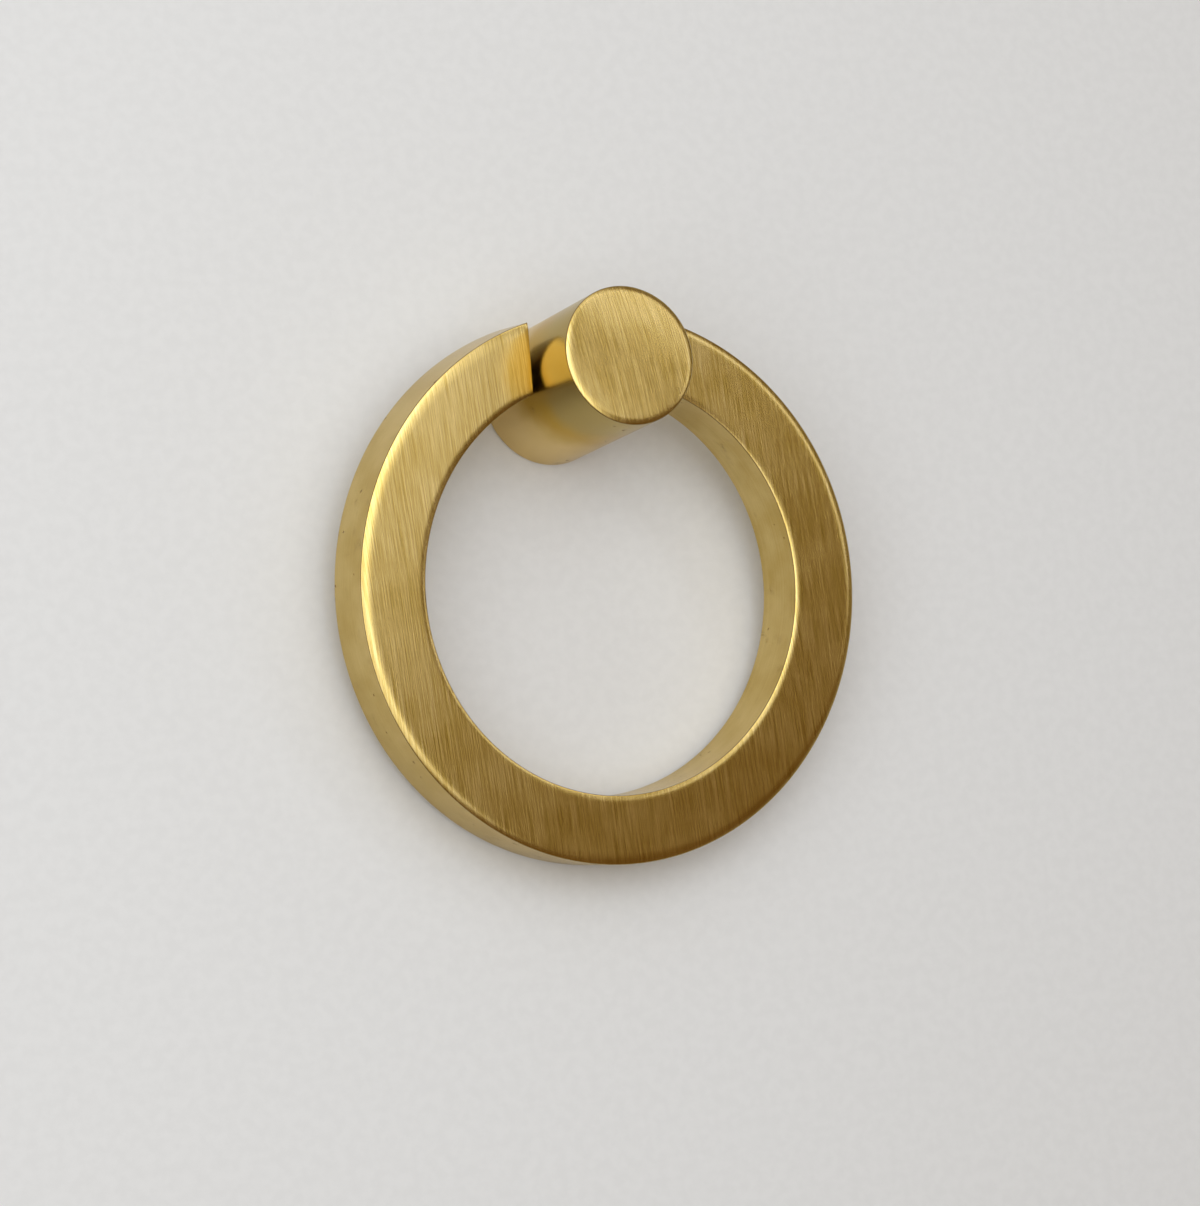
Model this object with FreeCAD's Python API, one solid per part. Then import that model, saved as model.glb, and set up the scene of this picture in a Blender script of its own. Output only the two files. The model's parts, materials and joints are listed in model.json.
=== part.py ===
import FreeCAD, Part
import math
import os

# Ring pull handle for a drawer or cabinet door: a flat brass ring that swings on a pin through a round post.
# Millimetres. The origin is the centre of the post's base, +Z runs up the post, X runs along the pin, and
# the ring lies towards -Y with its far edge on the mounting face.

# Ring: a flat band of nearly square section, whose brushed faces roll over a little at their edges
ring_outer_diameter = 50.0
ring_face_width = 6.2
ring_thickness = 6.0
ring_roll_width = 0.7
ring_roll_drop = 0.2

# Post: a turned cylinder with a brushed head and a flat base
post_diameter = 12.7
post_height = 17.4
head_roll_width = 0.7
head_roll_drop = 0.2
base_edge_break = 0.2

# Hinge pin: pressed through the post, with each end in a blind hole of the ring
pin_diameter = 1.6
pin_height = 8.2
pin_inset = 1.7
pin_reach = 3.0
pin_end_chamfer = 0.2

# Screw hole: drilled for an M4 thread from the base, stopping short of the pin
tap_drill_diameter = 3.3
drill_point_angle = 118.0
pin_web = 1.0

# Clearances of the swinging ring: beside the post, around the pin, and past the pin's ends
side_clearance = 0.5
running_clearance = 0.05
end_clearance = 0.3

# Sizes that follow from those above
ring_outer_radius = ring_outer_diameter / 2
ring_inner_radius = ring_outer_radius - ring_face_width
ring_half_thickness = ring_thickness / 2
post_radius = post_diameter / 2
pin_radius = pin_diameter / 2
gap_half_width = post_radius + side_clearance
pin_half_length = gap_half_width + pin_reach
end_face_inner_edge = math.sqrt(ring_inner_radius ** 2 - gap_half_width ** 2)
pin_to_ring_centre = end_face_inner_edge + pin_inset

along_x = FreeCAD.Vector(1, 0, 0)
along_z = FreeCAD.Vector(0, 0, 1)
origin = FreeCAD.Vector(0, 0, 0)
pin_centre = FreeCAD.Vector(0, 0, pin_height)


def roll_radius(width, drop):
    """Radius of the arc that leaves a flat face and falls by drop over width."""
    return (width ** 2 + drop ** 2) / (2 * drop)


def section_point(radius, height):
    """Point of a turned section, in the plane through the turning axis."""
    return FreeCAD.Vector(radius, 0, height)


def rolled_edge(flat_radius, face_height, width, drop, outward, upward):
    """Arc from the flat of a face to the side wall, as an edge of a turned section.

    outward is 1 at an outer wall and -1 at an inner one; upward is 1 on a top face and -1 on a bottom one.
    """
    radius = roll_radius(width, drop)
    half_turn = math.asin(width / radius) / 2
    middle = section_point(
        flat_radius + outward * radius * math.sin(half_turn),
        face_height - upward * radius * (1 - math.cos(half_turn)),
    )
    start = section_point(flat_radius, face_height)
    end = section_point(flat_radius + outward * width, face_height - upward * drop)
    return start, end, Part.Arc(start, middle, end).toShape()


def turned(edges):
    """Full turn of a closed section about the Z axis."""
    section = Part.Face(Part.Wire(Part.__sortEdges__(edges)))
    return section.revolve(origin, along_z, 360)


def resting_tilt():
    """Angle, in degrees, by which the ring's far edge drops from the pin to touch the mounting face."""
    radius = roll_radius(ring_roll_width, ring_roll_drop)
    reach = pin_to_ring_centre + ring_outer_radius - ring_roll_width
    depth = ring_half_thickness - radius
    return math.degrees(math.asin((pin_height - radius) / math.hypot(reach, depth)) - math.atan2(depth, reach))


def make_ring():
    """The open ring in its own plane, then tilted about the pin until its far edge lies on the face."""
    outer_flat = ring_outer_radius - ring_roll_width
    inner_flat = ring_inner_radius + ring_roll_width
    rolls = {}
    edges = []
    for outward, flat in ((1, outer_flat), (-1, inner_flat)):
        for upward in (1, -1):
            roll = rolled_edge(flat, upward * ring_half_thickness, ring_roll_width, ring_roll_drop, outward, upward)
            rolls[outward, upward] = roll
            edges.append(roll[2])
    for upward in (1, -1):
        edges.append(Part.LineSegment(rolls[1, upward][0], rolls[-1, upward][0]).toShape())
    for outward in (1, -1):
        edges.append(Part.LineSegment(rolls[outward, 1][1], rolls[outward, -1][1]).toShape())
    ring = turned(edges)

    # The opening for the post has parallel sides, cut from the ring's centre out past its rim
    gap_corner = FreeCAD.Vector(-gap_half_width, 0, -ring_thickness)
    gap = Part.makeBox(2 * gap_half_width, ring_outer_diameter, 2 * ring_thickness, gap_corner)
    ring = ring.cut(gap)

    # One drill pass makes the blind holes in both end faces
    hole_half_length = pin_half_length + end_clearance
    hole_start = FreeCAD.Vector(-hole_half_length, pin_to_ring_centre, 0)
    hole = Part.makeCylinder(pin_radius + running_clearance, 2 * hole_half_length, hole_start, along_x)
    ring = ring.cut(hole)

    ring.translate(FreeCAD.Vector(0, -pin_to_ring_centre, pin_height))
    ring.rotate(pin_centre, along_x, resting_tilt())
    return ring


def make_post():
    """The turned post with its screw hole from the base and the cross hole for the pin."""
    head_start, head_end, head_roll = rolled_edge(
        post_radius - head_roll_width, post_height, head_roll_width, head_roll_drop, 1, 1
    )
    corners = [
        head_end,
        section_point(post_radius, base_edge_break),
        section_point(post_radius - base_edge_break, 0),
        origin,
        section_point(0, post_height),
        head_start,
    ]
    edges = [Part.LineSegment(first, second).toShape() for first, second in zip(corners, corners[1:])]
    post = turned(edges + [head_roll])

    # The drill's point ends a web short of the pin's hole
    drill_radius = tap_drill_diameter / 2
    point_length = drill_radius / math.tan(math.radians(drill_point_angle / 2))
    drill_tip = pin_height - pin_radius - pin_web
    drill_shoulder = drill_tip - point_length
    drill = Part.makeCylinder(drill_radius, drill_shoulder)
    point = Part.makeCone(drill_radius, 0, point_length, section_point(0, drill_shoulder))
    cross_start = FreeCAD.Vector(-post_radius, 0, pin_height)
    cross_hole = Part.makeCylinder(pin_radius, post_diameter, cross_start, along_x)
    return post.cut(drill.fuse(point)).cut(cross_hole)


def make_pin():
    """The straight pin, with its ends broken so that they enter the holes."""
    start = FreeCAD.Vector(-pin_half_length, 0, pin_height)
    pin = Part.makeCylinder(pin_radius, 2 * pin_half_length, start, along_x)
    rims = [edge for edge in pin.Edges if abs(edge.BoundBox.XLength) < pin_end_chamfer]
    return pin.makeChamfer(pin_end_chamfer, rims)


os.makedirs("parts", exist_ok=True)
for name, shape in (("pull_ring", make_ring()), ("post", make_post()), ("hinge_pin", make_pin())):
    shape.exportStep(f"parts/{name}.step")
    box = shape.BoundBox
    print(name, shape.isValid(), len(shape.Solids), round(shape.Volume, 2),
          [round(value, 3) for value in (box.XMin, box.YMin, box.ZMin, box.XMax, box.YMax, box.ZMax)])
print("resting tilt", round(resting_tilt(), 4), "pin to ring centre", round(pin_to_ring_centre, 4))
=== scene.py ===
import json
import math

import bmesh
import bpy
from mathutils import Matrix, Vector


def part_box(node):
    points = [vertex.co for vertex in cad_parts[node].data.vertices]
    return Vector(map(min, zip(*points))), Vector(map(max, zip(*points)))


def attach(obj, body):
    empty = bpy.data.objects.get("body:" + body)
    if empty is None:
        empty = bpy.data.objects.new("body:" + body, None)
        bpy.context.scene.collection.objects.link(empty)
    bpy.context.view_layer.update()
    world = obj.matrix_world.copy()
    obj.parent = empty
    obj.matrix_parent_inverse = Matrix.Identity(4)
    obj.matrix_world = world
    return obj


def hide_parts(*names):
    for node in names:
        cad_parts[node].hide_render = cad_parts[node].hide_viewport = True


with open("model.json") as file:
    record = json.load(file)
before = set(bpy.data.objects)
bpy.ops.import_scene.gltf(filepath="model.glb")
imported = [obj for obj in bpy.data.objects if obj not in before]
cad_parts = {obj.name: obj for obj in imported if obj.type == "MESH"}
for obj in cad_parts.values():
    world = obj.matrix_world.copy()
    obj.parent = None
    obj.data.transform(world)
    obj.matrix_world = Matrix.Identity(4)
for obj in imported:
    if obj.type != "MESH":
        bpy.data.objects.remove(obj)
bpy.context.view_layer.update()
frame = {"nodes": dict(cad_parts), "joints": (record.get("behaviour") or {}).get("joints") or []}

# Post: a round brass bar turned on a lathe. Its head is brushed in straight lines and a little crowned, and
# its side is left smooth. It stands on the drawer front, and a screw from behind pulls it down by the thread
# in its base.
mm = 0.001
pin_height = frame["joints"][0]["pos_m"][2]
pin_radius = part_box("hinge_pin")[1].y
post_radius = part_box("post")[1].y
post_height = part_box("post")[1].z
head_roll_width = 0.8 * mm
head_roll_drop = 0.1 * mm
head_crown_along = 0.016 / mm
head_crown_across = 0.003 / mm
head_circles = 4
base_break = 0.2 * mm
corner_ease = 0.06 * mm
corner_steps = 4
roll_steps = 12
roll_power = 3
support = 0.1 * mm
post_columns = 192
patch_columns = 6
patch_rows = 12
thread_pitch = 0.7 * mm
thread_root_radius = 2.0 * mm
thread_crest_radius = 1.65 * mm
thread_mouth_radius = 2.1 * mm
thread_depth = 5.4 * mm
thread_run_out = 1.0 * mm
thread_rows_a_turn = 12
drill_tip = 6.4 * mm


def roll_over(flat_edge, wall, face_level, drop):
    """Section points where a brushed face rolls over to a wall, slowly at first, from flat to corner."""
    points = []
    for step in range(roll_steps + 1):
        share = step / roll_steps
        points.append((flat_edge + (wall - flat_edge) * share, face_level - drop * share ** roll_power))
    return points


def softened(outline, corners):
    """The outline with each named corner turned into a small curve, as brushing and polishing leave it."""
    smooth = []
    for place, point in enumerate(outline):
        corner = Vector(point)
        if point not in corners:
            smooth.append(corner)
            continue
        before = Vector(outline[place - 1])
        after = Vector(outline[(place + 1) % len(outline)])
        start = corner + (before - corner).normalized() * corner_ease
        end = corner + (after - corner).normalized() * corner_ease
        for step in range(corner_steps + 1):
            along = step / corner_steps
            smooth.append(start.lerp(corner, along).lerp(corner.lerp(end, along), along))
    return smooth


def thread_cut(turn, level):
    """How far the thread is cut into the wall of its hole, at a turn round the hole and a level up it."""
    root_flat = 1 / 16
    crest_flat = 3 / 8
    half_pitch = 1 / 2
    from_root = abs((level / thread_pitch - turn / math.tau) % 1 - half_pitch)
    share = min(max((crest_flat - from_root) / (crest_flat - root_flat), 0), 1)
    fade = min(max((thread_depth - level) / thread_run_out, 0), 1)
    return share * fade * (thread_root_radius - thread_crest_radius)


def finish_mesh(shape, name):
    """A new piece from a closed bmesh, smooth except where two faces meet at a real edge."""
    real_edge = math.radians(35)
    loose = [point for point in shape.verts if not point.link_faces]
    bmesh.ops.delete(shape, geom=loose, context="VERTS")
    bmesh.ops.recalc_face_normals(shape, faces=shape.faces)
    mesh = bpy.data.meshes.new(name)
    shape.to_mesh(mesh)
    shape.free()
    mesh.shade_smooth()
    mesh.set_sharp_from_angle(angle=real_edge)
    piece = bpy.data.objects.new(name, mesh)
    bpy.context.scene.collection.objects.link(piece)
    return piece


# The section runs from the head's middle over its rolled edge, down the side and in to the thread's mouth
head_flat = post_radius - head_roll_width
head_roll = roll_over(head_flat, post_radius, post_height, head_roll_drop)
head_level = post_height - head_roll_drop - head_crown_along * post_radius ** 2 / 2 - support
patch_half = post_radius * math.sin(math.tau * patch_columns / post_columns)
base_top = (post_radius, base_break)
base_foot = (post_radius - base_break, 0.0)
mouth = (thread_mouth_radius, 0.0)
post_section = [(head_flat * circle / head_circles, post_height) for circle in range(1, head_circles)]
post_section += [(head_flat - support, post_height), *head_roll]
post_section += [(post_radius, head_level)]
first_patch_row = len(post_section) + corner_steps
for row in range(patch_rows + 1):
    post_section.append((post_radius, pin_height + patch_half * (1 - 2 * row / patch_rows)))
post_section += [(post_radius, base_break + support), base_top, base_foot]
post_section += [(post_radius - base_break - support, 0.0), (thread_mouth_radius + support, 0.0), mouth]
post_section = softened(post_section, [head_roll[-1], base_top, base_foot, mouth])

post_shape = bmesh.new()
post_rows = []
turns = [math.tau * column / post_columns for column in range(post_columns)]
for across, up in post_section:
    points = []
    for turn in turns:
        x = across * math.cos(turn)
        y = across * math.sin(turn)
        crown = (head_crown_across * x ** 2 + head_crown_along * y ** 2) / 2 if up > head_level else 0
        points.append(post_shape.verts.new((x, y, up - crown)))
    post_rows.append(points)
chamfer_end = thread_mouth_radius - thread_crest_radius
bore_rows = math.ceil((thread_depth - chamfer_end) / thread_pitch * thread_rows_a_turn)
for row in range(bore_rows + 1):
    level = chamfer_end + (thread_depth - chamfer_end) * row / bore_rows
    wall = [thread_crest_radius + thread_cut(t, level) for t in turns]
    post_rows.append(
        [post_shape.verts.new((r * math.cos(t), r * math.sin(t), level)) for r, t in zip(wall, turns)]
    )


def around_pin_hole(side):
    """Points round the patch of wall that the pin comes through, on the +X or the -X side of the post."""
    def column(step):
        return step % post_columns if side > 0 else (post_columns // 2 - step) % post_columns

    top = first_patch_row
    low = first_patch_row + patch_rows
    loop = [post_rows[low][column(step)] for step in range(-patch_columns, patch_columns)]
    loop += [post_rows[row][column(patch_columns)] for row in range(low, top, -1)]
    loop += [post_rows[top][column(step)] for step in range(patch_columns, -patch_columns, -1)]
    loop += [post_rows[row][column(-patch_columns)] for row in range(top, low)]
    return loop


def join_loops(shape, first, second):
    """Faces that join two loops of points, one to one."""
    for place in range(len(first)):
        after = (place + 1) % len(first)
        shape.faces.new((first[place], first[after], second[after], second[place]))


# The skin joins row to row, except over the two patches of wall where the pin comes through
for row in range(len(post_rows) - 1):
    in_patch_rows = first_patch_row <= row < first_patch_row + patch_rows
    for column in range(post_columns):
        from_plus = (column + patch_columns) % post_columns
        from_minus = (column + patch_columns + post_columns // 2) % post_columns
        if in_patch_rows and min(from_plus, from_minus) < 2 * patch_columns:
            continue
        after = (column + 1) % post_columns
        upper = post_rows[row]
        lower = post_rows[row + 1]
        post_shape.faces.new((upper[column], lower[column], lower[after], upper[after]))
pin_loops = []
for side in (1, -1):
    patch = around_pin_hole(side)
    hole = []
    for point in patch:
        angle = math.atan2(point.co.z - pin_height, point.co.y)
        sideways = pin_radius * math.cos(angle)
        out = side * math.sqrt(post_radius ** 2 - sideways ** 2)
        hole.append(post_shape.verts.new((out, sideways, pin_height + pin_radius * math.sin(angle))))
    join_loops(post_shape, patch, hole)
    pin_loops.append(hole)
join_loops(post_shape, *pin_loops)
for rim, tip_level in ((post_rows[0], post_height), (post_rows[-1], drill_tip)):
    tip = post_shape.verts.new((0, 0, tip_level))
    for column in range(post_columns):
        post_shape.faces.new((rim[column], rim[(column + 1) % post_columns], tip))
turned_post = finish_mesh(post_shape, "turned_post")


class Shade:
    """A socket of a shader that can be written into sums, which add the nodes that work them out."""

    def __init__(self, tree, socket=None):
        self.tree = tree
        self.socket = socket

    def node(self, kind, settings, inputs, take=0):
        """Add a node, set it up, fill its sockets with values or links, and take one of its outputs."""
        made = self.tree.nodes.new(kind)
        for name, value in settings.items():
            setattr(made, name, value)
        for name, value in inputs.items():
            if isinstance(value, Shade):
                self.tree.links.new(value.socket, made.inputs[name])
            else:
                made.inputs[name].default_value = value
        return Shade(self.tree, made.outputs[take] if len(made.outputs) else None)

    def maths(self, operation, first, second):
        return self.node("ShaderNodeMath", {"operation": operation}, {0: first, 1: second})

    def __add__(self, other):
        return self.maths("ADD", self, other)

    def __radd__(self, other):
        return self.maths("ADD", other, self)

    def __sub__(self, other):
        return self.maths("SUBTRACT", self, other)

    def __rsub__(self, other):
        return self.maths("SUBTRACT", other, self)

    def __mul__(self, other):
        return self.maths("MULTIPLY", self, other)

    def __rmul__(self, other):
        return self.maths("MULTIPLY", other, self)

    def __abs__(self):
        return self.maths("ABSOLUTE", self, 0)

    def rise(self, low, high):
        """0 below low, 1 above high, and a smooth rise between them."""
        limits = {"Value": self, "From Min": low, "From Max": high}
        return self.node("ShaderNodeMapRange", {"interpolation_type": "SMOOTHSTEP"}, limits)

    def between(self, first, second):
        """A colour that goes from first to second as this value goes from 0 to 1."""
        return self.node("ShaderNodeMix", {"data_type": "RGBA"}, {0: self, 6: first, 7: second}, take=2)

    def turned_to(self, other, share):
        """This colour with a share of another one in it."""
        return self.node("ShaderNodeMix", {"data_type": "RGBA"}, {0: share, 6: self, 7: other}, take=2)

    def stretched(self, x, y, z):
        """This place, with each axis scaled by itself."""
        return self.node("ShaderNodeVectorMath", {"operation": "MULTIPLY"}, {0: self, 1: (x, y, z)})

    def grain(self, counts, detail):
        """Noise from 0 to 1 at this place, with so many grains a metre along X, Y and Z."""
        sizes = {"Vector": self.stretched(*counts), "Scale": 1.0, "Detail": detail}
        return self.node("ShaderNodeTexNoise", {}, sizes, take="Fac")

    def part(self, axis):
        """One axis of this place or direction."""
        return self.node("ShaderNodeSeparateXYZ", {}, {"Vector": self}, take=axis)

    def facing(self, lean=0.0):
        """The way that the surface looks, on a piece that leans about X, as if the piece lay level."""
        normal = self.node("ShaderNodeTexCoord", {}, {}, take="Normal")
        level = {"Vector": normal, "Rotation": (-lean, 0, 0)}
        return self.node("ShaderNodeMapping", {"vector_type": "VECTOR"}, level)

    def bump(self, depth):
        """The normal of a surface that stands higher by depth where this value is higher by 1."""
        relief = {"Strength": 1.0, "Distance": depth, "Height": self}
        return self.node("ShaderNodeBump", {}, relief, take="Normal")

    def show(self, looks):
        """Give the material a surface with these looks."""
        surface = self.node("ShaderNodeBsdfPrincipled", {}, looks)
        self.node("ShaderNodeOutputMaterial", {}, {"Surface": surface})


def new_finish(name, middle=(0, 0, 0), lean=0.0):
    """An empty material, and the place of each point of a piece that leans about X at its middle."""
    material = bpy.data.materials.new(name)
    material.use_nodes = True
    material.node_tree.nodes.clear()
    point = Shade(material.node_tree).node("ShaderNodeTexCoord", {}, {}, take="Object")
    level = {"Vector": point, "Location": middle, "Rotation": (lean, 0, 0)}
    return material, point.node("ShaderNodeMapping", {"vector_type": "TEXTURE"}, level)


def satin_brass(name, both_faces, brush_turn, painted_wall_light, middle=(0, 0, 0), lean=0.0):
    """Lacquered brass, brushed along Y on its flat faces, with faint turning lines and painted light on its
    smooth walls.
    """
    material, place = new_finish(name, middle, lean)

    # A face looks up, or down as well, the walls are the rest, and a thin dark line of painted shade lies
    # between them
    face_limits = (0.62, 0.8)
    wall_limits = (0.015, 0.1)
    roll_limits = (0.7, 0.9)
    upward = place.facing(lean).part("Z")
    upward = abs(upward) if both_faces else upward
    brushed = upward.rise(*face_limits)
    smooth = 1 - brushed
    edge = upward.rise(*wall_limits) * (1 - upward.rise(*roll_limits))

    # Hair lines and broader strokes of the brush, both drawn out along the way it was pulled, a little off Y
    hair_counts = (9500, 230, 0)
    hair_detail = 2
    hair_share = 0.65
    stroke_counts = (5200, 80, 0)
    stroke_detail = 3
    pull = {"Vector": place, "Rotation": (0, 0, brush_turn)}
    pulled = place.node("ShaderNodeMapping", {"vector_type": "TEXTURE"}, pull)
    hairs = pulled.grain(hair_counts, hair_detail)
    strokes = pulled.grain(stroke_counts, stroke_detail)
    brushing = hairs * hair_share + strokes * (1 - hair_share)

    # Turning lines run round the piece, so they depend on the distance from its axis and the level
    turning_counts = (5200, 5200, 0)
    turning_detail = 2
    outward = {0: place.stretched(1, 1, 0)}
    from_axis = place.node("ShaderNodeVectorMath", {"operation": "LENGTH"}, outward, take="Value")
    out_and_up = place.node("ShaderNodeCombineXYZ", {}, {"X": from_axis, "Y": place.part("Z"), "Z": 0.0})
    turning = out_and_up.grain(turning_counts, turning_detail)

    # Patches of thicker and thinner lacquer, and on the walls a few stains and pits where it has gone
    patch_counts = (230, 230, 230)
    patch_detail = 3
    stain_counts = (520, 520, 520)
    stain_detail = 4
    stain_limits = (0.6, 0.8)
    stain_weight = 0.3
    pit_counts = (1500, 1500, 1500)
    pit_detail = 0
    pit_limits = (0.82, 0.85)
    pit_weight = 0.7
    patches = place.grain(patch_counts, patch_detail)
    stains = place.grain(stain_counts, stain_detail).rise(*stain_limits)
    pits = place.grain(pit_counts, pit_detail).rise(*pit_limits)
    marks = smooth * (stains * stain_weight + pits * pit_weight)

    # The brass is deeper between the lines and in the patches, dark in the stains and pits, and painted dark
    # along the edges as shade
    light_brass = (0.84, 0.65, 0.26, 1)
    deep_brass = (0.55, 0.37, 0.06, 1)
    wall_light = (0.66, 0.5, 0.2, 1)
    wall_deep = (0.5, 0.345, 0.085, 1)
    stain_and_edge_shade_brass = (0.2, 0.11, 0.022, 1)
    line_limits = (0.31, 0.69)
    line_share = 0.75
    lathe_limits = (0.3, 0.7)
    lathe_share = 0.3
    patch_limits = (0.3, 0.7)
    painted_edge_weight = 0.85
    tones = patches.rise(*patch_limits)
    face_mix = brushing.rise(*line_limits) * line_share + tones * (1 - line_share)
    wall_mix = turning.rise(*lathe_limits) * lathe_share + tones * (1 - lathe_share)
    # Painted reflection and painted shade go into the walls here: the post's side mirrors table and ring,
    # the ring's cut ends sit in the dark gap
    painted_share, painted_brass = painted_wall_light(place)
    wall_colour = wall_mix.between(wall_deep, wall_light).turned_to(painted_brass, painted_share)
    clean_colour = brushed.between(wall_colour, face_mix.between(deep_brass, light_brass))
    colour = (marks + edge * painted_edge_weight).between(clean_colour, stain_and_edge_shade_brass)

    # Lines, patches and marks all dull the gloss a little
    wall_roughness = 0.21
    face_gloss = 0.02
    line_roughness = 0.06
    patch_roughness = 0.04
    mark_roughness = 0.2
    lined = wall_roughness - brushed * face_gloss + brushed * brushing * line_roughness
    roughness = lined + patches * patch_roughness + marks * mark_roughness

    # The brush cuts deeper than the lathe, and the lacquer is thicker on the faces
    cut_depth = 0.01 * mm
    turning_height = 0.1
    wall_lacquer = 0.25
    face_lacquer = 0.6
    lacquer_roughness = 0.12
    slanted_brass = (0.92, 0.84, 0.66, 1)
    height = brushed * brushing + smooth * turning * turning_height - marks
    place.show(
        {
            "Base Color": colour,
            "Metallic": 1.0,
            "Roughness": roughness,
            "Normal": height.bump(cut_depth),
            "Specular Tint": slanted_brass,
            "Coat Weight": wall_lacquer + brushed * (face_lacquer - wall_lacquer),
            "Coat Roughness": lacquer_roughness,
        }
    )
    return material


def post_wall_reflection(place):
    """Painted reflection on the post's side: pale at its foot where it mirrors the bright table, golden at
    the ring's level where it mirrors the ring and the shade under it, and duller towards the head.
    """
    floor_reflection_brass = (0.8, 0.6, 0.27, 1)
    ring_reflection_brass = (0.5, 0.3, 0.02, 1)
    dimmed_reflection_brass = (0.375, 0.28, 0.085, 1)
    golden_limits = (4 * mm, 10 * mm)
    dull_limits = (9.5 * mm, 14.5 * mm)
    cloud_counts = (160, 160, 160)
    cloud_detail = 3
    cloud_mean = 0.5
    cloud_shift = 9 * mm
    painted_share = 0.85
    level = place.part("Z") + (place.grain(cloud_counts, cloud_detail) - cloud_mean) * cloud_shift
    lower = level.rise(*golden_limits).between(floor_reflection_brass, ring_reflection_brass)
    return painted_share, level.rise(*dull_limits).between(lower, dimmed_reflection_brass)


head_brush_turn = math.radians(9)
post_finish = satin_brass("post_satin_brass", False, head_brush_turn, post_wall_reflection)
turned_post.data.materials.append(post_finish)
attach(turned_post, "post")
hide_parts("post")

# Hinge pin: a short ground steel rod, pressed through the post until it stands out evenly on both sides.
# The ring hangs on its two ends.


def ground_steel(name):
    """Plain steel with fine grinding rings round the rod, which lies along X."""
    bright_steel = (0.6, 0.6, 0.61, 1)
    dull_steel = (0.4, 0.39, 0.38, 1)
    ring_counts = (14000, 400, 400)
    ring_detail = 2
    ring_share = 0.5
    stain_counts = (900, 900, 900)
    stain_detail = 3
    tone_limits = (0.3, 0.7)
    clean_roughness = 0.28
    ring_roughness = 0.12
    stain_roughness = 0.1
    ring_depth = 0.004 * mm
    material, place = new_finish(name)
    rings = place.grain(ring_counts, ring_detail)
    stains = place.grain(stain_counts, stain_detail)
    tone = (rings * ring_share + stains * (1 - ring_share)).rise(*tone_limits)
    place.show(
        {
            "Base Color": tone.between(dull_steel, bright_steel),
            "Metallic": 1.0,
            "Roughness": clean_roughness + rings * ring_roughness + stains * stain_roughness,
            "Normal": rings.bump(ring_depth),
        }
    )
    return material


hinge_pin = frame["nodes"]["hinge_pin"]
hinge_pin.data.materials[0] = ground_steel("pin_ground_steel")

# Pull ring: a flat brass band of nearly square section, cut open for the post. Both faces are brushed
# straight along the handle, and a blind hole in each cut end turns on the pin.
ring_outer = min(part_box("pull_ring")[1].x, -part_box("pull_ring")[0].x)
ring_face_width = 6.2 * mm
ring_inner = ring_outer - ring_face_width
ring_half_thickness = 3.0 * mm
outer_roll_width = 1.2 * mm
outer_roll_drop = 0.155 * mm
inner_roll_width = 0.8 * mm
inner_roll_drop = 0.085 * mm
rest_width = 0.7 * mm
rest_drop = 0.2 * mm
gap_half = 6.85 * mm
pin_inset = 1.7 * mm
hole_radius = 0.85 * mm
hole_break = 0.1 * mm
hole_end = 10.15 * mm
end_ease = 0.03 * mm
end_steps = 3
ring_rows = 288
wall_steps = 4
face_steps = 6

# The ring leans about the pin until its far edge rests on the mounting face
pin_to_centre = math.sqrt(ring_inner ** 2 - gap_half ** 2) + pin_inset
rest_bend = (rest_width ** 2 + rest_drop ** 2) / (2 * rest_drop)
reach = pin_to_centre + ring_outer - rest_width
depth = ring_half_thickness - rest_bend
resting_tilt = math.asin((pin_height - rest_bend) / math.hypot(reach, depth)) - math.atan2(depth, reach)


def run(first, last, steps):
    """Points between first and last that keep the shading of a flat true next to its edges."""
    way = Vector(last) - Vector(first)
    edge = support / way.length
    shares = [edge + (1 - 2 * edge) * step / steps for step in range(steps + 1)]
    return [tuple(Vector(first) + way * share) for share in shares]


outer_flat = ring_outer - outer_roll_width
inner_flat = ring_inner + inner_roll_width
top_out = roll_over(outer_flat, ring_outer, ring_half_thickness, outer_roll_drop)
low_out = roll_over(outer_flat, ring_outer, -ring_half_thickness, -outer_roll_drop)
low_in = roll_over(inner_flat, ring_inner, -ring_half_thickness, -inner_roll_drop)
top_in = roll_over(inner_flat, ring_inner, ring_half_thickness, inner_roll_drop)
ring_section = [*top_out, *run(top_out[-1], low_out[-1], wall_steps), *reversed(low_out)]
ring_section += [*run(low_out[0], low_in[0], face_steps), *low_in, *run(low_in[-1], top_in[-1], wall_steps)]
ring_section += [*reversed(top_in), *run(top_in[0], top_out[0], face_steps)]
ring_section = softened(ring_section, [roll[-1] for roll in (top_out, low_out, low_in, top_in)])


def inset(section, amount):
    """The closed section drawn in by an amount. It runs clockwise, so its inside is on the right."""
    drawn = []
    for place, point in enumerate(section):
        along = (section[(place + 1) % len(section)] - section[place - 1]).normalized()
        drawn.append(point + Vector((along.y, -along.x)) * amount)
    return drawn


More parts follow.
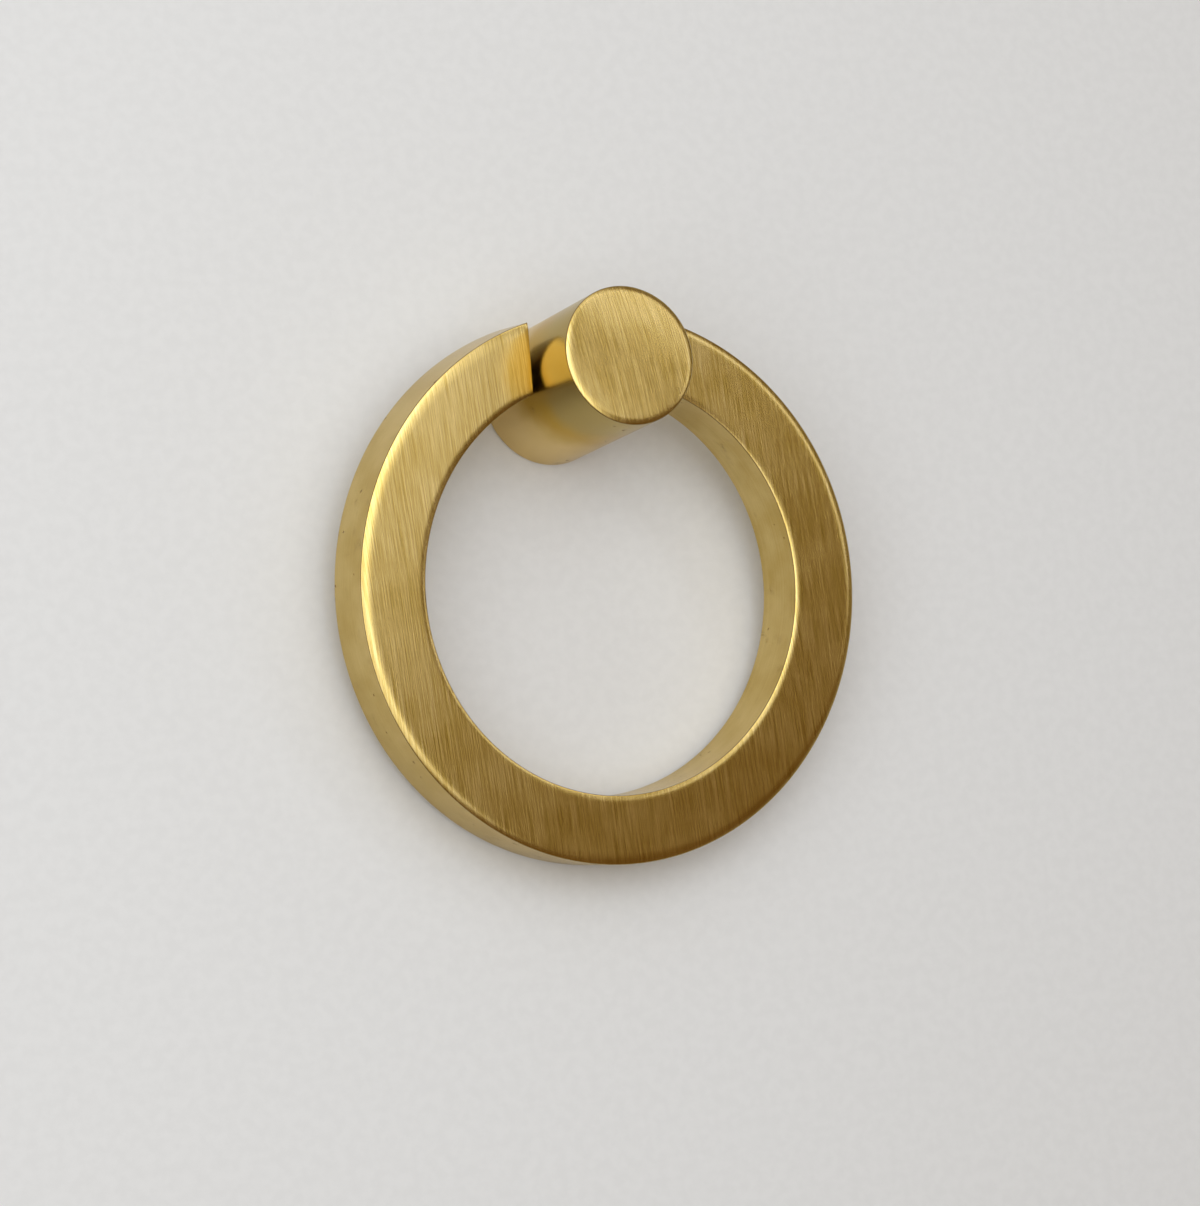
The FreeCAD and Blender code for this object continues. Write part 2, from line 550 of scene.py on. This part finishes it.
# The band runs round from one cut end to the other, and each end is closed down to the bottom of its hole
ring_shape = bmesh.new()
band = []
for row in range(ring_rows + 1):
    points = []
    for across, up in ring_section:
        start = math.asin((gap_half + end_ease) / across)
        turn = start + (math.tau - 2 * start) * row / ring_rows
        points.append(ring_shape.verts.new((across * math.sin(turn), across * math.cos(turn), up)))
    band.append(points)
for side in (1, -1):
    end_rows = []
    for step in range(end_steps):
        turn = math.pi / 2 * step / end_steps
        setback = gap_half + end_ease * (1 - math.cos(turn))
        drawn = inset(ring_section, end_ease * (1 - math.sin(turn)))
        places = [(side * setback, math.sqrt(across ** 2 - setback ** 2), up) for across, up in drawn]
        end_rows.append([ring_shape.verts.new(place) for place in places])
    cap = end_rows[0]
    hole_mouth = (hole_radius + hole_break, gap_half)
    hole_throat = (hole_radius, gap_half + hole_break)
    hole_floor = (hole_radius, hole_end)
    holes = []
    for radius, level in (hole_mouth, hole_throat, hole_floor):
        loop = []
        for point in cap:
            angle = math.atan2(point.co.z, point.co.y - pin_to_centre)
            place = (side * level, pin_to_centre + radius * math.cos(angle), radius * math.sin(angle))
            loop.append(ring_shape.verts.new(place))
        holes.append(loop)
    bottom = ring_shape.verts.new((side * hole_end, pin_to_centre, 0))
    loops = [band[0] if side > 0 else band[-1], *reversed(end_rows), *holes]
    for first, second in zip(loops, loops[1:]):
        join_loops(ring_shape, first, second)
    for place in range(len(cap)):
        ring_shape.faces.new((holes[-1][place], holes[-1][(place + 1) % len(cap)], bottom))
for first, second in zip(band, band[1:]):
    join_loops(ring_shape, first, second)
swing_ring = finish_mesh(ring_shape, "swing_ring")
to_pin = Matrix.Translation((0, 0, pin_height))
lean = Matrix.Rotation(resting_tilt, 4, "X")
swing_ring.data.transform(to_pin @ lean @ Matrix.Translation((0, -pin_to_centre, 0)))
ring_middle = to_pin @ lean @ Vector((0, -pin_to_centre, 0))


def gap_end_shade(place):
    """Painted shade on the two cut ends beside the post, which face the post across a narrow dark gap."""
    gap_shade_dark = (0.035, 0.022, 0.012, 1)
    sideways_limits = (0.8, 0.95)
    off_end_limits = (gap_half + 0.1 * mm, gap_half + 0.4 * mm)
    sideways = abs(place.facing().part("X")).rise(*sideways_limits)
    off_end = abs(place.part("X")).rise(*off_end_limits)
    return sideways * (1 - off_end), gap_shade_dark


ring_brush_turn = math.radians(5)
ring_finish = satin_brass("ring_satin_brass", True, ring_brush_turn, gap_end_shade, ring_middle, resting_tilt)
swing_ring.data.materials.append(ring_finish)
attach(swing_ring, "ring")
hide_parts("pull_ring")

# Table: a wide sheet of pale matt paper with faint fibres. The handle lies loose on it with the post's base
# down, and the sheet is set a hair below the base so that the two never share a plane.
table_half = 3.0
table_gap = 0.01 * mm
table_corners = ((-1, -1), (1, -1), (1, 1), (-1, 1))
paper_colour = (0.81, 0.815, 0.8, 1)
paper_fleck = (0.785, 0.79, 0.775, 1)
paper_roughness = 0.8
fibre_counts = (900, 900, 900)
fibre_detail = 3
fibre_limits = (0.3, 0.7)
sheet_mesh = bpy.data.meshes.new("paper_sheet")
sheet_points = [(table_half * x, table_half * y, -table_gap) for x, y in table_corners]
sheet_mesh.from_pydata(sheet_points, [], [(0, 1, 2, 3)])
paper_sheet = bpy.data.objects.new("paper_sheet", sheet_mesh)
bpy.context.scene.collection.objects.link(paper_sheet)
paper, paper_place = new_finish("pale_paper")
fibres = paper_place.grain(fibre_counts, fibre_detail).rise(*fibre_limits)
paper_place.show({"Base Color": fibres.between(paper_fleck, paper_colour), "Roughness": paper_roughness})
sheet_mesh.materials.append(paper)

# Light: four soft panels hung level above the table, one overhead, a wide window at the left with a lamp
# below it, and a narrow strip at the far right, in a dim warm room that is paler towards its walls.
daylight = (0.95, 1.0, 1.06)
pale_walls = (0.45, 0.458, 0.466, 1)
dim_ceiling = (0.13, 0.064, 0.007, 1)
ceiling_limits = (0.25, 0.6)


def soft_panel(name, place, width, length, turn, brightness):
    """A level panel of even brightness, turned by so many degrees about the upright."""
    lamp = bpy.data.lights.new(name, "AREA")
    lamp.shape = "RECTANGLE"
    lamp.size = width
    lamp.size_y = length
    lamp.color = daylight
    lamp.energy = brightness * math.pi * width * length
    panel = bpy.data.objects.new(name, lamp)
    bpy.context.scene.collection.objects.link(panel)
    panel.matrix_world = Matrix.Translation(place) @ Matrix.Rotation(math.radians(turn), 4, "Z")
    panel.visible_camera = False


soft_panel("overhead_panel", (0.06, 0.05, 0.46), width=0.3, length=0.26, turn=-58, brightness=1.12)
soft_panel("window_panel", (-0.566, 0.102, 0.48), width=0.782, length=1.784, turn=-42, brightness=0.746)
soft_panel("strip_panel", (0.319, 0.154, 0.45), width=0.524, length=0.104, turn=-53, brightness=1.65)
soft_panel("lamp_panel", (-0.34, -0.05, 0.44), width=0.82, length=0.52, turn=13, brightness=1.22)
world = bpy.data.worlds.new("warm_room")
bpy.context.scene.world = world
world.use_nodes = True
world.node_tree.nodes.clear()
room = Shade(world.node_tree)
up = room.node("ShaderNodeTexCoord", {}, {}, take="Generated").part("Z")
room_colour = up.rise(*ceiling_limits).between(pale_walls, dim_ceiling)
room_light = room.node("ShaderNodeBackground", {}, {"Color": room_colour, "Strength": 1.0})
room.node("ShaderNodeOutputWorld", {}, {"Surface": room_light})

# Camera: held by hand above the near left of the table, with a long lens, and turned down to the handle, so
# that it looks past the post's head at the ring's upper face from about 30 degrees off the upright.
camera_place = Vector((-169.293, -70.605, 322.429)) * mm
camera_right = Vector((0.88301, -0.12874, 0.45134))
camera_down = Vector((-0.04989, -0.98194, -0.18247))
photo_height = 1206
focal_pixels = 4000
film_width = 36.0
camera_data = bpy.data.cameras.new("camera")
camera_data.sensor_width = film_width
camera_data.lens = focal_pixels * film_width / photo_height
camera = bpy.data.objects.new("camera", camera_data)
bpy.context.scene.collection.objects.link(camera)
backward = camera_right.cross(-camera_down).normalized()
axes = Matrix((camera_right, -camera_down, backward)).transposed()
camera.matrix_world = Matrix.Translation(camera_place) @ axes.to_4x4()
bpy.context.scene.camera = camera
bpy.context.scene.view_settings.view_transform = "Standard"
